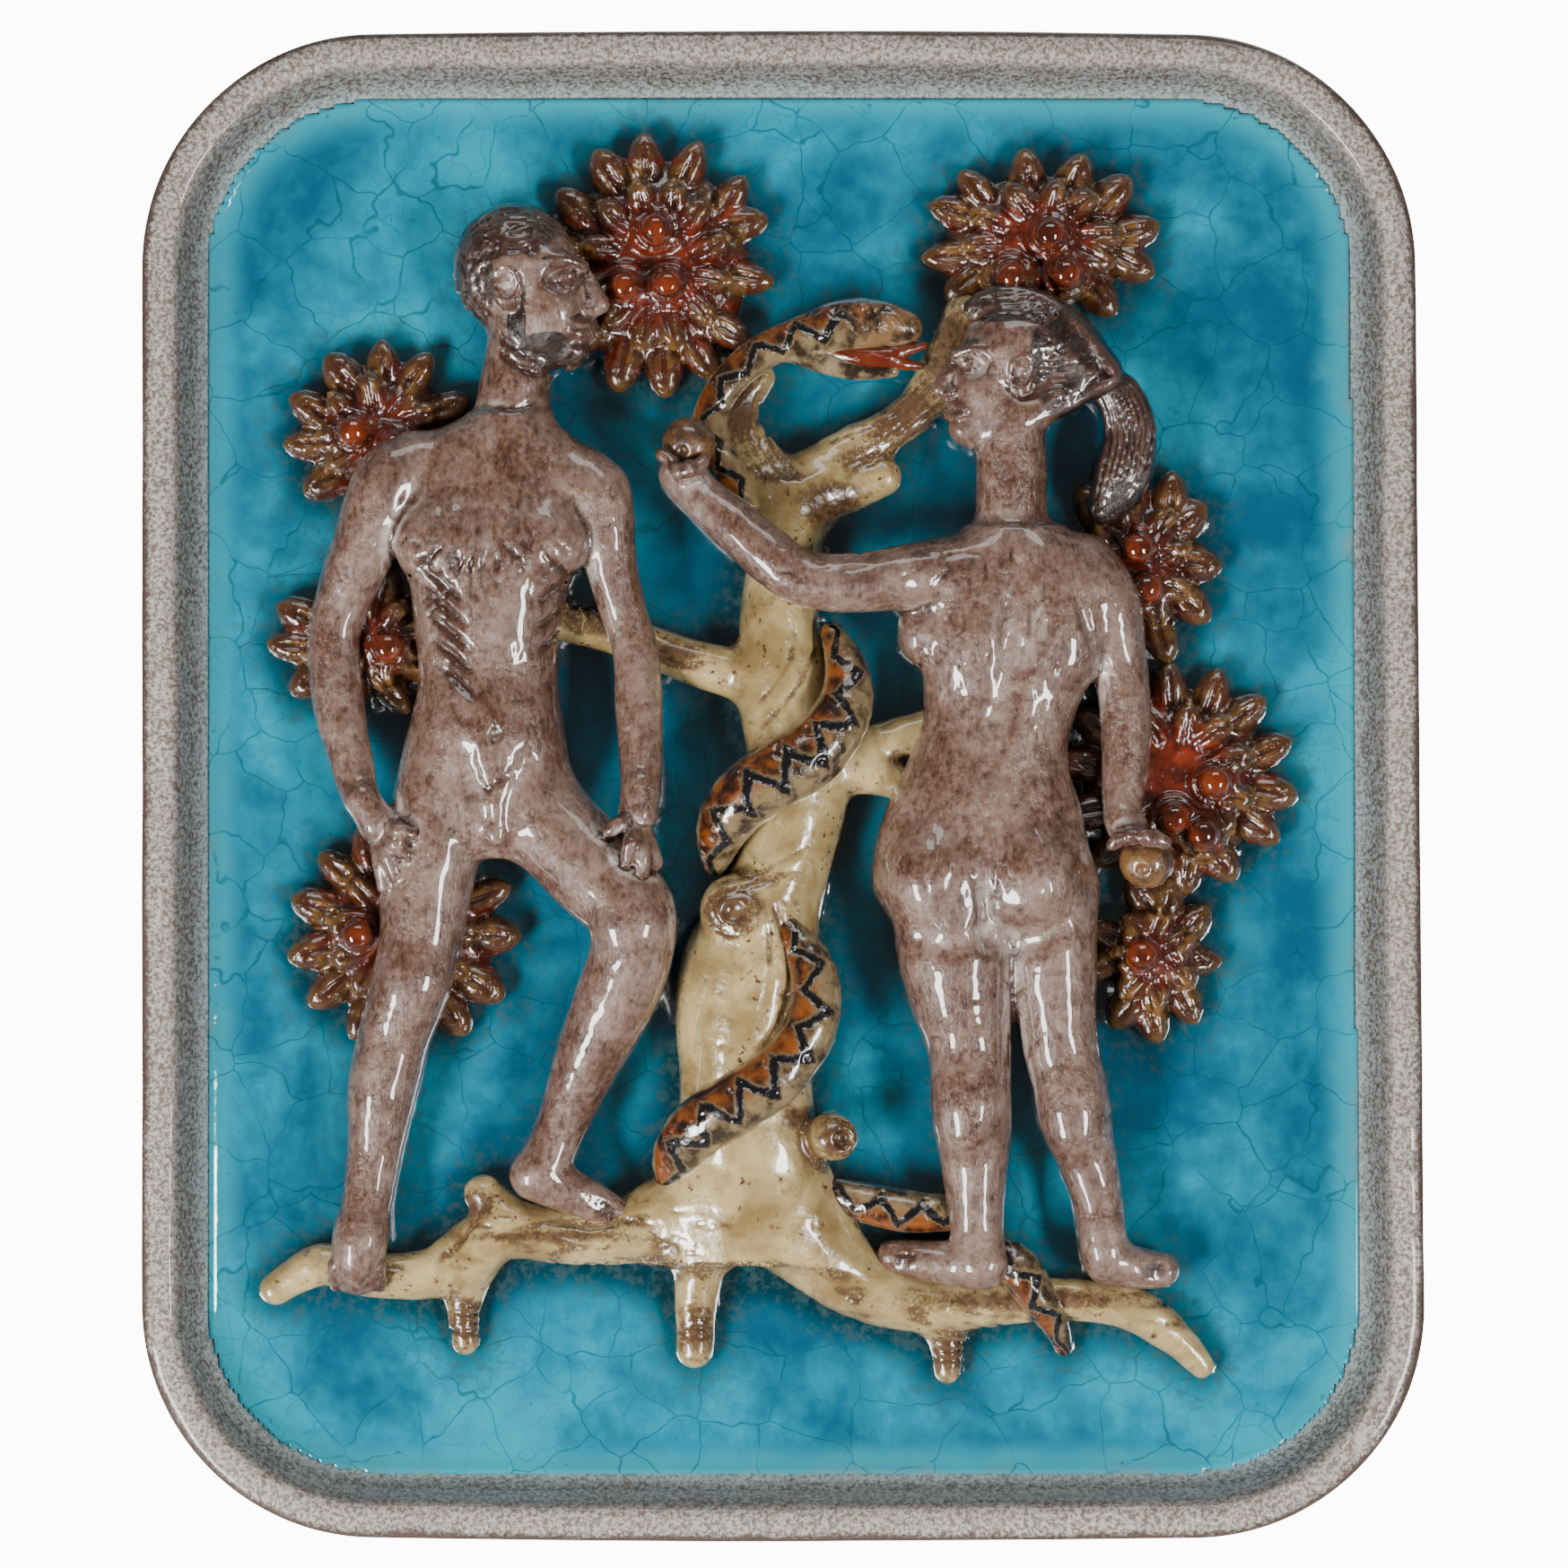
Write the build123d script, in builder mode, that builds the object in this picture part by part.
from build123d import *
import os
from math import cos, pi, radians, sin

# A hand-modelled clay relief of the tree of life: a glazed tray with a rim, and on its floor a
# tree, a snake, a man seen from the front, a woman seen from behind, and clusters of leaves and
# berries. Millimetres. X is the viewer's right, +Z is up, the wall is the plane Y = 0 and the
# front faces -Y.

# Tray
WIDTH = 320.0
HEIGHT = 376.0
TOP_INSET = 3.0  # the right side leans in by this much at the top
CROWN = 2.0  # the top and bottom edges bow outwards by this much
CORNER_RADIUS = 57.0
DEPTH = 33.0  # wall plane to rim front
WALL_FLARE = 12.0  # the back outline lies this far inside the rim outline
RIM_WIDTH = 9.0
FLOOR_INSET = 16.5  # rim outline to the edge of the floor
FLOOR_Y = -19.0  # front of the clay floor
RECESS_DEPTH = 11.0
RECESS_INSET = 24.0
GLAZE_THICKNESS = 1.5
FOOT_LEVEL = 0.05  # just above the clay floor
RIM_BULGE_DEPTH = 28.0  # the wall is widest this far from the wall plane
RIM_TURN_IN = 1.5  # the rim front lies this far inside the widest outline
RIM_OUTER_FILLET = 2.5
RIM_INNER_FILLET = 2.0

# Limbs end in a short cone: its reach and its end, as shares of the last radius
CAP_REACH = 0.85
CAP_END = 0.45

# Knots on the trunk
KNOT_RING_RADIUS = 5.2
KNOT_HOLE_RADIUS = 2.4
KNOT_RING_LENGTH = 9.0
KNOT_STUB_RADIUS = 4.5

# Pierced lugs on the back, for a hanging wire
LUG_X = 70.0
LUG_Z = 120.0
LUG_SIZE = (12.0, 9.5, 18.0)
LUG_BORE_RADIUS = 2.25
LUG_BORE_Y = -6.0

# Foliage
PAD_HEIGHT = 6.0
PAD_SHARE = 0.74  # pad size over the size of the ring of leaf tips
PAD_DOME = ((0, 1.0), (0.6, 0.93), (1, 0.7))  # share of the height, share of the size
LEAF_LENGTH = 15.0
LEAF_HALF_WIDTH = 3.6
LEAF_PITCH = 12.5  # distance between neighbouring leaf tips
INNER_RING_SHARE = 0.66
OUTER_RING_START = 8.0  # degrees from +X to the first leaf
INNER_RING_START = 24.0
MIN_LEAVES = 5
OUTER_LEAF_TOP = 7.5
INNER_LEAF_BASE = 4.0
INNER_LEAF_THICKNESS = 7.0
BERRY_RADIUS = 4.2
BERRY_HEIGHT = 8.5  # centre of a berry above the clay floor

FLOOR = Plane(origin=(0, FLOOR_Y, 0), x_dir=(1, 0, 0), z_dir=(0, -1, 0))

# Limbs, branches, roots and snake: (x, z, radius, height of the axis above the clay floor)
MAN_NECK = [(-67.5, 88, 10, 12), (-67, 98, 9.5, 13), (-65, 108, 9.5, 14), (-64, 116, 9, 15)]
MAN_RIGHT_ARM = [
    (-92, 79, 8.5, 15),
    (-98, 76, 9, 15),
    (-105, 58, 8, 13),
    (-112, 38, 6.8, 11),
    (-110.5, 20, 6.3, 12),
    (-106, 3, 5.5, 14),
    (-102, -10, 6, 18),
    (-98, -22, 3.5, 21),
]
MAN_LEFT_ARM = [
    (-52, 76, 8, 15),
    (-47, 73, 8, 15),
    (-43, 55, 6.4, 13),
    (-38.5, 38, 5.8, 13),
    (-36, 22, 5.9, 15),
    (-35.5, 5, 5.7, 18),
    (-36.5, -9, 6.8, 23),
    (-35.5, -19, 4, 25),
]
MAN_RIGHT_LEG = [
    (-83, 6, 12, 12),
    (-87, -8, 12, 12),
    (-90, -38, 10.5, 13),
    (-94, -53, 9.8, 14),
    (-100, -80, 7.8, 11),
    (-104, -105, 6.7, 12),
    (-106, -116, 7, 13),
    (-106.5, -124, 5.5, 12),
]
MAN_LEFT_LEG = [
    (-66, -1, 12, 12),
    (-52, -15, 12, 15),
    (-39, -31, 11.3, 18),
    (-40, -46, 10.5, 16),
    (-46, -62, 9.3, 13),
    (-54, -81, 7, 11),
    (-60, -96, 6.6, 11),
]
MAN_LEFT_FOOT = [(-64, -96, 6, 10), (-54, -101, 6, 9), (-41, -107, 4.2, 8)]
WOMAN_NECK = [(57, 58, 10, 12), (56.5, 68, 9.3, 13), (56, 80, 9.3, 14), (55, 92, 9, 15)]
WOMAN_LEFT_ARM = [
    (52, 53, 10, 15),
    (38, 53, 8.8, 19),
    (25, 51, 7.6, 23),
    (12, 50, 7, 25),
    (2, 53, 6.8, 26),
    (-8, 61, 6.4, 25),
    (-20, 72, 6, 22),
    (-27, 80, 6.5, 20),
    (-30.5, 86, 4, 19),
]
WOMAN_RIGHT_ARM = [
    (74, 54, 9, 14),
    (79, 46, 9, 15),
    (83, 30, 7, 13),
    (85, 14, 6.2, 13),
    (84.5, 0, 5.5, 14),
    (84, -10, 5.8, 16),
    (84.5, -19, 4, 17),
]
WOMAN_LEFT_LEG = [
    (42, -26, 16, 13),
    (43, -45, 14.5, 14),
    (45.5, -60, 11.5, 13),
    (47, -80, 9.6, 12.5),
    (47.5, -100, 7.6, 12),
    (48.5, -120, 6.5, 11),
]
WOMAN_LEFT_FOOT = [(51, -118, 6, 9), (38, -118, 6, 9), (25, -116, 4.6, 8)]
WOMAN_RIGHT_LEG = [
    (66, -27, 12, 13),
    (66.5, -45, 10.8, 14),
    (68.5, -62, 10, 13),
    (73, -84, 8.6, 12),
    (78, -103, 6.8, 12),
    (80, -119, 5.6, 11),
]
WOMAN_RIGHT_FOOT = [(79, -119, 5.5, 9), (89, -120, 5.6, 9), (98, -120, 4.4, 8)]
PONYTAIL = [
    (76, 102, 3.6, 17),
    (82, 97, 3.8, 16),
    (85, 88, 3.8, 15),
    (81.5, 76, 3.4, 14),
    (77, 67, 2.4, 13),
]

FORK_LEFT = [(1, 66, 7, 6), (-6, 79, 7, 6), (-11, 88, 5.8, 6), (-11, 95, 5, 6), (-6, 102, 4, 6)]
FORK_RIGHT = [(2, 70, 7, 6), (14, 82, 6.2, 6), (25, 89, 5.2, 6), (34, 95, 5, 6), (43, 105, 5.5, 6)]
STUB = [(4, 70, 6, 6), (13, 73, 6.2, 7), (24, 76.5, 5.5, 8)]
BRANCH_LEFT = [
    (-2, 26, 7.5, 6),
    (-14, 28, 6.2, 6),
    (-28, 33, 5.5, 6),
    (-42, 38, 5.2, 6),
    (-62, 43, 5.2, 6),
]
BRANCH_RIGHT = [(6, 2, 7.5, 7), (18, 7, 6.5, 8), (27, 11.5, 5.4, 8), (40, 16, 5.2, 8)]
ROOT_LEFT = [
    (-15, -100, 11, 5),
    (-28, -107, 9.5, 5),
    (-42, -112, 7.5, 5),
    (-58, -112, 7.5, 5),
    (-76, -114, 8, 5),
    (-88, -121, 6.5, 5),
    (-102, -122.5, 5.6, 5),
    (-115, -120, 5.4, 5),
    (-126, -125, 4.5, 4),
]
ROOTLET_LEFT = [(-79, -120, 5.5, 4), (-80.5, -130, 4.4, 4), (-80, -139, 3.4, 3)]
ROOT_MIDDLE = [(-18, -108, 9, 5), (-21, -119, 7.5, 5), (-22, -130, 5.4, 4), (-22, -142, 4.2, 4)]
ROOT_RIGHT = [
    (0, -110, 9, 5),
    (9, -118, 9.4, 5),
    (20, -125, 8.5, 5),
    (34, -129, 6.8, 5),
    (48, -129, 6.4, 5),
    (62, -128.5, 5.2, 5),
    (78, -128.5, 5.2, 5),
    (90, -132, 5.4, 5),
    (99, -139, 4.2, 4),
    (104, -145, 3, 3),
]
ROOTLET_RIGHT = [(39, -129, 5.5, 4), (41, -138, 4.5, 4), (41, -146, 3.4, 3)]

SNAKE_HEAD = [
    (32.5, 112, 3, 12),
    (27, 114, 5.2, 12),
    (19, 115.5, 6.4, 12),
    (10, 115.5, 6, 12),
    (1, 111.5, 4.9, 11),
    (-8, 106, 4.5, 10),
    (-16, 98, 4.2, 9),
    (-18.5, 89, 4.2, 9),
    (-15, 80, 4, 11),
    (-10, 72, 3.2, 12),
]
SNAKE_TONGUE = [(10, 107.5, 1.8, 11), (19, 107, 2.6, 12), (27, 106.6, 2.2, 12)]
TONGUE_PRONGS = [
    [(26, 106.6, 1.8, 12), (30.5, 108.5, 1.3, 12), (34.5, 109.5, 0.9, 12)],
    [(26, 106.6, 1.8, 12), (30.5, 105.2, 1.3, 12), (34, 104, 0.9, 12)],
]
SNAKE_UPPER_COIL = [
    (13.5, 36, 3.4, 16),
    (16.5, 27, 5, 18),
    (15, 17, 6.6, 20),
    (8, 9, 7.6, 22),
    (-2, 3, 8, 22),
    (-11, -3, 7.6, 21),
    (-16, -11, 6, 18),
    (-17.5, -19, 3.4, 15),
]
SNAKE_LOWER_COIL = [
    (3, -34, 3.2, 19),
    (7, -43, 5, 20),
    (7.5, -53, 6, 21),
    (4, -63, 6.4, 22),
    (-3, -71, 7, 22),
    (-12, -78, 7.4, 21),
    (-21, -84, 7.2, 18),
    (-27, -91, 6, 13),
    (-29, -99, 3.4, 9),
]
SNAKE_TAIL_LOOP = [(14, -101.5, 3.4, 9), (21, -104, 4.6, 9), (31, -106, 5, 9), (41, -106, 4.6, 8)]
SNAKE_TAIL_TIP = [
    (55, -117, 4, 8),
    (60, -122, 5, 10),
    (65, -129, 4, 9),
    (68.5, -135, 3, 6),
    (70.5, -141, 1.9, 4),
]

# Torsos and tree trunk: (x, z, half width, height of the axis, half depth), from the bottom up
MAN_TORSO = [
    (-73, -16, 8, 12, 8),
    (-73, -6, 21, 12, 13.5),
    (-74, 8, 20.5, 13, 13),
    (-73.5, 25, 17.5, 13, 12.5),
    (-73.5, 42, 18.5, 14, 13.5),
    (-72.5, 58, 21.5, 14, 14),
    (-71.5, 72, 24, 13.5, 13),
    (-70, 84, 18, 13, 11.5),
    (-68.5, 92, 11, 13, 10),
]
WOMAN_TORSO = [
    (49.5, -36, 20, 14, 10),
    (49, -24, 27, 14, 15.5),
    (49.5, -8, 25, 14, 15),
    (50.5, 6, 20, 14, 13.5),
    (53.5, 18, 19, 14, 13),
    (56, 33, 22, 14, 13.5),
    (58, 47, 25, 14, 14),
    (58, 57, 20, 14, 13),
    (57, 64, 13, 13.5, 11),
]
TRUNK = [
    (-6, -116, 27, 5, 13),
    (-8, -100, 21.5, 5, 15),
    (-9, -85, 18, 6, 15),
    (-9, -70, 17, 6, 16),
    (-9, -55, 18.5, 6, 17),
    (-7, -40, 16.5, 6, 17),
    (-2, -22, 13.5, 6, 15),
    (3, -4, 12.8, 6, 14),
    (2, 12, 12.5, 6, 14),
    (0, 28, 11.5, 6, 13),
    (-1, 46, 9.8, 6, 12.5),
    (1, 62, 9.2, 6, 12),
    (1, 79, 9.5, 6, 11),
]
KNOT_HOLLOW = (-12, -31, 19)  # x, z and height of the knot with a hollow in it
KNOT_STUB = (12, -87, 14)

# Heads and apples: (x, z, height of the centre, radius, half height)
MAN_HEAD = (-64, 125, 16, 16, 18.5)
WOMAN_HEAD = (54, 105, 17, 13.8, 16.5)
HAIR_ROLL = [
    (36, 113, 4.5, 17),
    (46, 121, 5.5, 16),
    (60, 121, 5.8, 16),
    (72, 113, 5.5, 16),
    (78, 103, 4, 17),
]
APPLE_RAISED = (-22.5, 86, 26, 6.5)
APPLE_LOWERED = (91, -19, 18, 6.8)


def relief_point(x, z, height):
    """A point of the relief, its height measured from the clay floor towards the viewer."""
    return Vector(x, FLOOR_Y - height, z)


def tray_outline(plane, inset):
    """The plaque's outline on a plane, moved inwards by an inset."""
    side = WIDTH / 2 - inset
    lean = side - TOP_INSET
    crest = HEIGHT / 2 - inset
    shoulder = crest - CROWN
    with BuildSketch(plane) as outline:
        with BuildLine():
            Line((-side, -shoulder), (-side, shoulder))
            ThreePointArc((-side, shoulder), (0, crest), (lean, shoulder))
            Line((lean, shoulder), (side, -shoulder))
            ThreePointArc((side, -shoulder), (0, -crest), (-side, -shoulder))
        make_face()
        fillet(outline.vertices(), radius=CORNER_RADIUS - inset)
    return outline.sketch


def front_plane(y):
    """A plane parallel to the wall whose sketches read as (X, Z)."""
    return Plane(origin=(0, y, 0), x_dir=(1, 0, 0), z_dir=(0, -1, 0))


def limb(stations):
    """A round limb lofted through its stations, with a domed cap at each end."""
    points = [relief_point(x, z, height) for x, z, radius, height in stations]
    radii = [station[2] for station in stations]
    first = (points[0] - points[1]).normalized()
    last = (points[-1] - points[-2]).normalized()
    sections = [(points[0] + first * radii[0] * CAP_REACH, -first, radii[0] * CAP_END)]
    for index, point in enumerate(points):
        before = points[max(index - 1, 0)]
        after = points[min(index + 1, len(points) - 1)]
        sections.append((point, after - before, radii[index]))
    sections.append((points[-1] + last * radii[-1] * CAP_REACH, last, radii[-1] * CAP_END))
    faces = []
    for centre, direction, radius in sections:
        with BuildSketch(Plane(origin=centre, x_dir=(0, -1, 0), z_dir=direction)) as slice_across:
            Circle(radius)
        faces.append(slice_across.sketch)
    loft(sections=faces)


def column(stations):
    """A torso or trunk lofted upwards through level oval sections."""
    faces = []
    for x, z, half_width, height, half_depth in stations:
        level = Plane(origin=relief_point(x, z, height), x_dir=(1, 0, 0), z_dir=(0, 0, 1))
        turns = [index * pi / 4 for index in range(8)]
        with BuildSketch(level) as oval:
            with BuildLine():
                Spline([(half_width * cos(t), half_depth * sin(t)) for t in turns], periodic=True)
            make_face()
        faces.append(oval.sketch)
    loft(sections=faces)


def egg(x, z, height, radius, half_height):
    """A head: an upright oval turned about its own axis."""
    centre = relief_point(x, z, height)
    with BuildSketch(Plane(origin=centre, x_dir=(1, 0, 0), z_dir=(0, -1, 0))) as half:
        with BuildLine():
            EllipticalCenterArc((0, 0), radius, half_height, start_angle=-90, arc_size=180)
            Line((0, half_height), (0, -half_height))
        make_face()
    revolve(half.sketch, axis=Axis(centre, (0, 0, 1)))


def ball(x, z, height, radius):
    """A ball of clay."""
    with Locations(relief_point(x, z, height)):
        Sphere(radius)


def seat(piece, name, *neighbours):
    """Cut the current piece flat at the clay floor and to the neighbours it is luted against."""
    split(bisect_by=FLOOR, keep=Keep.TOP)
    whole[name] = piece.part
    for other in neighbours:
        add(whole[other], clean=False, mode=Mode.SUBTRACT)


def finish(piece, name):
    """Label a finished piece and write its file."""
    piece.part.label = name
    export_step(piece.part, "parts/" + name + ".step")


os.makedirs("parts", exist_ok=True)
whole = {}  # the pieces as modelled, before they are cut to their neighbours, by name

# ---------------------------------------------------------------- tray
with BuildPart() as tray:
    widest = tray_outline(front_plane(-RIM_BULGE_DEPTH), 0)
    loft(sections=[tray_outline(front_plane(0), WALL_FLARE), widest], ruled=True)
    loft(sections=[widest, tray_outline(front_plane(-DEPTH), RIM_TURN_IN)], ruled=True)
    loft(
        sections=[
            tray_outline(front_plane(FLOOR_Y), FLOOR_INSET),
            tray_outline(front_plane(-DEPTH), RIM_WIDTH),
        ],
        ruled=True,
        mode=Mode.SUBTRACT,
    )
    rim_front = tray.faces().filter_by(Axis.Y).sort_by(Axis.Y)[0]
    fillet(rim_front.outer_wire().edges(), radius=RIM_OUTER_FILLET)
    rim_front = tray.faces().filter_by(Axis.Y).sort_by(Axis.Y)[0]
    fillet(rim_front.inner_wires()[0].edges(), radius=RIM_INNER_FILLET)
    extrude(
        tray_outline(front_plane(0), RECESS_INSET),
        amount=RECESS_DEPTH,
        mode=Mode.SUBTRACT,
    )
finish(tray, "tray")

# ---------------------------------------------------------------- lugs on the back
for side, sign in (("left", -1), ("right", 1)):
    width, thickness, length = LUG_SIZE
    lug_centre = (sign * LUG_X, -RECESS_DEPTH + thickness / 2, LUG_Z)
    with BuildPart() as lug:
        with Locations(lug_centre):
            Box(width, thickness, length)
        long_edges = lug.edges().filter_by(Axis.X).group_by(Axis.Y)[-1]
        fillet(long_edges, radius=thickness / 2)
        with Locations(Plane(origin=(sign * LUG_X, LUG_BORE_Y, LUG_Z), z_dir=(1, 0, 0))):
            Cylinder(LUG_BORE_RADIUS, 2 * width, mode=Mode.SUBTRACT)
    finish(lug, "hanging_lug_" + side)

# ---------------------------------------------------------------- man
with BuildPart() as man_torso:
    column(MAN_TORSO)
    seat(man_torso, "man_torso")
finish(man_torso, "man_torso")

with BuildPart() as man_head:
    egg(*MAN_HEAD)
    limb(MAN_NECK)
    seat(man_head, "man_head", "man_torso")
finish(man_head, "man_head")

with BuildPart() as man_right_arm:
    limb(MAN_RIGHT_ARM)
    seat(man_right_arm, "man_right_arm", "man_torso")
finish(man_right_arm, "man_right_arm")

with BuildPart() as man_left_arm:
    limb(MAN_LEFT_ARM)
    seat(man_left_arm, "man_left_arm", "man_torso")
finish(man_left_arm, "man_left_arm")

with BuildPart() as man_right_leg:
    limb(MAN_RIGHT_LEG)
    seat(man_right_leg, "man_right_leg", "man_torso", "man_right_arm")
finish(man_right_leg, "man_right_leg")

with BuildPart() as man_left_leg:
    limb(MAN_LEFT_LEG)
    limb(MAN_LEFT_FOOT)
    seat(man_left_leg, "man_left_leg", "man_torso", "man_left_arm", "man_right_leg")
finish(man_left_leg, "man_left_leg")

# ---------------------------------------------------------------- woman
with BuildPart() as woman_torso:
    column(WOMAN_TORSO)
    seat(woman_torso, "woman_torso")
finish(woman_torso, "woman_torso")

with BuildPart() as woman_head:
    egg(*WOMAN_HEAD)
    limb(WOMAN_NECK)
    limb(HAIR_ROLL)
    seat(woman_head, "woman_head", "woman_torso")
finish(woman_head, "woman_head")

with BuildPart() as woman_ponytail:
    limb(PONYTAIL)
    seat(woman_ponytail, "woman_ponytail", "woman_head", "woman_torso")
finish(woman_ponytail, "woman_ponytail")

with BuildPart() as apple_raised:
    ball(*APPLE_RAISED)
    seat(apple_raised, "apple_raised")
finish(apple_raised, "apple_raised")

with BuildPart() as apple_lowered:
    ball(*APPLE_LOWERED)
    seat(apple_lowered, "apple_lowered")
finish(apple_lowered, "apple_lowered")

with BuildPart() as woman_left_arm:
    limb(WOMAN_LEFT_ARM)
    seat(woman_left_arm, "woman_left_arm", "woman_torso", "woman_head", "apple_raised")
finish(woman_left_arm, "woman_left_arm")

with BuildPart() as woman_right_arm:
    limb(WOMAN_RIGHT_ARM)
    seat(woman_right_arm, "woman_right_arm", "woman_torso", "woman_ponytail", "apple_lowered")
finish(woman_right_arm, "woman_right_arm")

with BuildPart() as woman_left_leg:
    limb(WOMAN_LEFT_LEG)
    limb(WOMAN_LEFT_FOOT)
    seat(woman_left_leg, "woman_left_leg", "woman_torso")
finish(woman_left_leg, "woman_left_leg")

with BuildPart() as woman_right_leg:
    limb(WOMAN_RIGHT_LEG)
    limb(WOMAN_RIGHT_FOOT)
    seat(woman_right_leg, "woman_right_leg", "woman_torso", "woman_left_leg")
finish(woman_right_leg, "woman_right_leg")

# ---------------------------------------------------------------- snake
with BuildPart() as snake_head:
    limb(SNAKE_HEAD)
    seat(snake_head, "snake_head", "woman_left_arm")
finish(snake_head, "snake_head")

with BuildPart() as snake_tongue:
    limb(SNAKE_TONGUE)
    for prong in TONGUE_PRONGS:
        limb(prong)
    seat(snake_tongue, "snake_tongue", "snake_head")
finish(snake_tongue, "snake_tongue")

with BuildPart() as snake_upper_coil:
    limb(SNAKE_UPPER_COIL)
    seat(snake_upper_coil, "snake_upper_coil")
finish(snake_upper_coil, "snake_upper_coil")

with BuildPart() as snake_lower_coil:
    limb(SNAKE_LOWER_COIL)
    seat(snake_lower_coil, "snake_lower_coil")
finish(snake_lower_coil, "snake_lower_coil")

with BuildPart() as snake_tail_loop:
    limb(SNAKE_TAIL_LOOP)
    seat(snake_tail_loop, "snake_tail_loop", "woman_left_leg")
finish(snake_tail_loop, "snake_tail_loop")

with BuildPart() as snake_tail_tip:
    limb(SNAKE_TAIL_TIP)
    seat(snake_tail_tip, "snake_tail_tip", "woman_left_leg", "woman_right_leg")
finish(snake_tail_tip, "snake_tail_tip")

# ---------------------------------------------------------------- tree
SNAKE_ON_TRUNK = ["snake_upper_coil", "snake_lower_coil", "snake_tail_loop"]
with BuildPart() as trunk:
    column(TRUNK)
    with Locations(Plane(origin=relief_point(*KNOT_HOLLOW), z_dir=(0, -1, 0))):
        Cylinder(KNOT_RING_RADIUS, KNOT_RING_LENGTH)
        Cylinder(KNOT_HOLE_RADIUS, KNOT_RING_LENGTH, mode=Mode.SUBTRACT)
    ball(*KNOT_STUB, KNOT_STUB_RADIUS)
    seat(trunk, "trunk", "woman_left_arm", "snake_head", *SNAKE_ON_TRUNK)
finish(trunk, "trunk")

TREE_LIMBS = {
    "branch_fork_left": ([FORK_LEFT], ["snake_head", "woman_left_arm"]),
    "branch_fork_right": ([FORK_RIGHT], ["snake_head", "snake_tongue", "woman_head"]),
    "branch_stub": ([STUB], ["woman_left_arm"]),
    "branch_left": ([BRANCH_LEFT], ["man_torso", "man_left_arm"]),
    "branch_right": ([BRANCH_RIGHT], ["woman_torso", "snake_upper_coil"]),
    "root_left": ([ROOT_LEFT, ROOTLET_LEFT], ["man_left_leg", "snake_lower_coil"]),
    "root_middle": ([ROOT_MIDDLE], []),
    "root_right": (
        [ROOT_RIGHT, ROOTLET_RIGHT],
        ["woman_left_leg", "woman_right_leg", "snake_tail_tip"],
    ),
}
tree = ["trunk"]
for name, (stretches, neighbours) in TREE_LIMBS.items():
    with BuildPart() as tree_limb:
        for stretch in stretches:
            limb(stretch)
        seat(tree_limb, name, *tree, *neighbours)
    finish(tree_limb, name)
    tree.append(name)

# ---------------------------------------------------------------- foliage
# Foliage clusters: centre x, centre z, half width and half height of the ring of leaf tips,
# the berries' places, and the pieces that lie over the cluster
CLUSTERS = {
    "foliage_top_left": (
        -32, 130, 29.5, 33, [(-32, 138), (-39, 124), (-29, 124)],
        ["man_head", "snake_head", "branch_fork_left"],
    ),
    "foliage_top_right": (
        64, 136, 30, 23, [(66, 137), (70, 127.5), (57, 126)], ["woman_head", "snake_head"]
    ),
    "foliage_left_upper": (
        -101, 88, 24, 23, [(-107, 88), (-97, 84)], ["man_right_arm", "man_torso"],
    ),
    "foliage_left_lower": (-104, 36, 25, 19, [(-98.5, 35)], ["man_right_arm", "man_torso"]),
    "foliage_bottom_left": (
        -95, -37, 29, 29, [(-106, -37)],
        ["man_right_arm", "man_right_leg", "man_left_leg", "man_torso"],
    ),
    "foliage_right_upper": (
        88, 55, 21, 26, [(88, 59), (90, 49)], ["woman_right_arm", "woman_ponytail", "woman_torso"]
    ),
    "foliage_right_middle": (
        99, 0, 28.5, 27.5, [(107, 1), (97, -8)],
        ["woman_right_arm", "apple_lowered", "woman_torso"],
    ),
    "foliage_right_lower": (
        92, -43, 17, 21, [(89, -42)],
        ["woman_right_leg", "apple_lowered", "woman_torso", "foliage_right_middle_leaves"],
    ),
}


def pad(x, z, half_width, half_height):
    """The low domed pad of clay under a cluster."""
    faces = []
    for rise, share in PAD_DOME:
        with BuildSketch(front_plane(FLOOR_Y - PAD_HEIGHT * rise)) as oval:
            with Locations((x, z)):
                Ellipse(half_width * PAD_SHARE * share, half_height * PAD_SHARE * share)
        faces.append(oval.sketch)
    loft(sections=faces)


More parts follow.
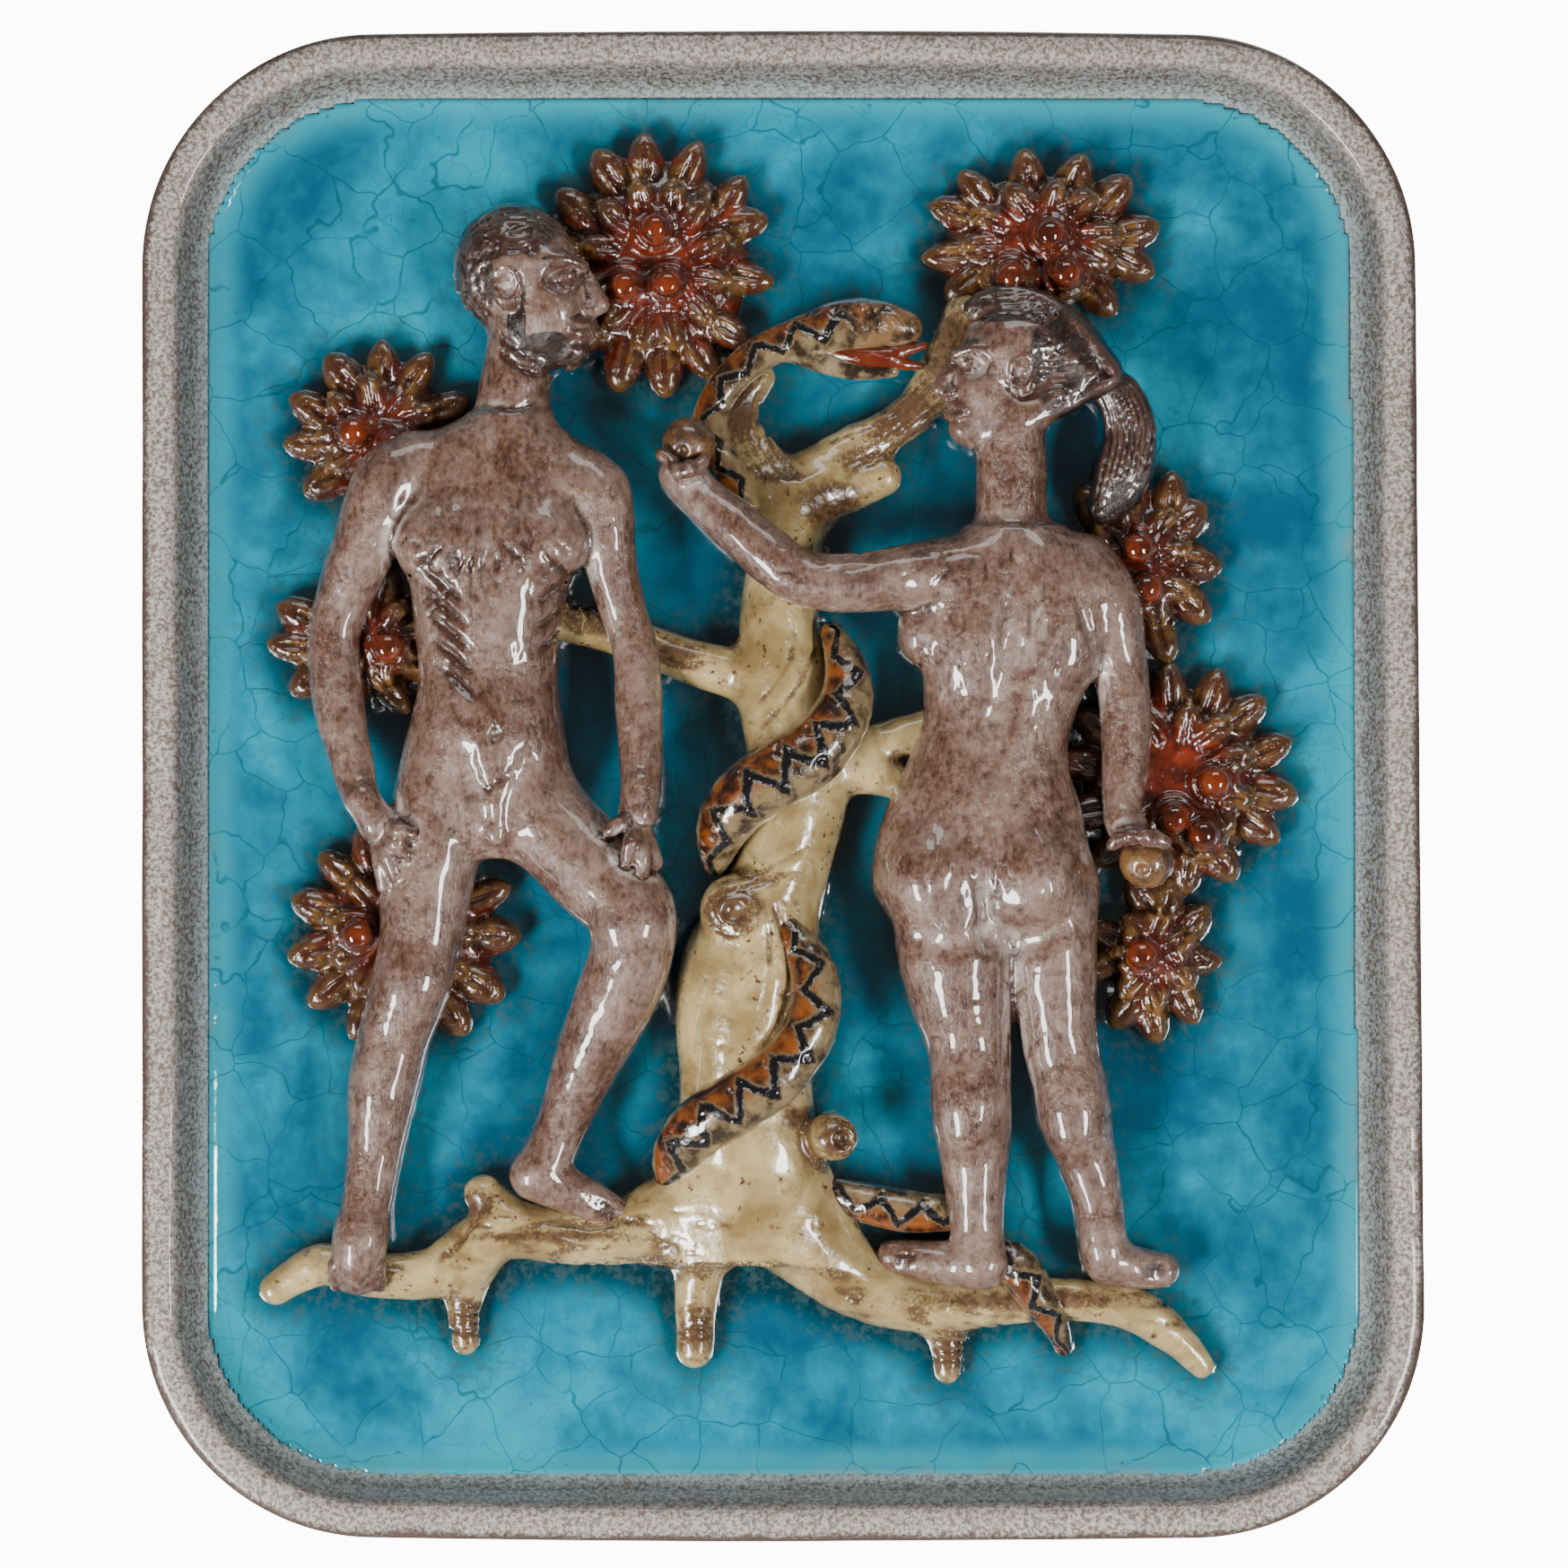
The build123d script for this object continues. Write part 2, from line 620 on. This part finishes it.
def leaf_ring(x, z, half_width, half_height, base, thickness, start):
    """A ring of almond leaves that point outwards, with their tips on an oval."""
    count = max(MIN_LEAVES, round(pi * (half_width + half_height) / LEAF_PITCH))
    with BuildSketch(front_plane(FLOOR_Y - base)) as ring:
        for index in range(count):
            turn = start + 2 * pi * index / count
            tip = Vector(x + half_width * cos(turn), z + half_height * sin(turn))
            out = Vector(half_width * cos(turn), half_height * sin(turn)).normalized()
            side = Vector(-out.Y, out.X) * LEAF_HALF_WIDTH
            root = tip - out * LEAF_LENGTH
            middle = tip - out * LEAF_LENGTH / 2
            with BuildLine():
                ThreePointArc(root, middle + side, tip)
                ThreePointArc(tip, middle - side, root)
            make_face()
    extrude(ring.sketch, amount=thickness)


for name, (x, z, half_width, half_height, berries, neighbours) in CLUSTERS.items():
    inner_width = half_width * INNER_RING_SHARE
    inner_height = half_height * INNER_RING_SHARE
    with BuildPart() as cluster_pad:
        pad(x, z, half_width, half_height)
        seat(cluster_pad, name + "_pad", *neighbours)
    finish(cluster_pad, name + "_pad")
    with BuildPart() as cluster_berries:
        for berry_x, berry_z in berries:
            ball(berry_x, berry_z, BERRY_HEIGHT, BERRY_RADIUS)
        seat(cluster_berries, name + "_berries", name + "_pad", *neighbours)
    finish(cluster_berries, name + "_berries")
    with BuildPart() as cluster_leaves:
        leaf_ring(x, z, half_width, half_height, 0, OUTER_LEAF_TOP, radians(OUTER_RING_START))
        leaf_ring(
            x,
            z,
            inner_width,
            inner_height,
            INNER_LEAF_BASE,
            INNER_LEAF_THICKNESS,
            radians(INNER_RING_START),
        )
        seat(cluster_leaves, name + "_leaves", name + "_pad", name + "_berries", *neighbours)
    finish(cluster_leaves, name + "_leaves")

# ---------------------------------------------------------------- glaze pool
# The pool runs up to the outline of every piece, both at the clay floor and at its own surface.
pool = tray_outline(front_plane(FLOOR_Y), FLOOR_INSET)
for piece in whole.values():
    for level in (FOOT_LEVEL, GLAZE_THICKNESS):
        outline = section(piece, section_by=front_plane(FLOOR_Y - level), mode=Mode.PRIVATE)
        if outline.faces():
            pool -= outline.moved(Location((0, level, 0)))
with BuildPart() as turquoise_glaze:
    extrude(pool, amount=GLAZE_THICKNESS)
finish(turquoise_glaze, "turquoise_glaze")
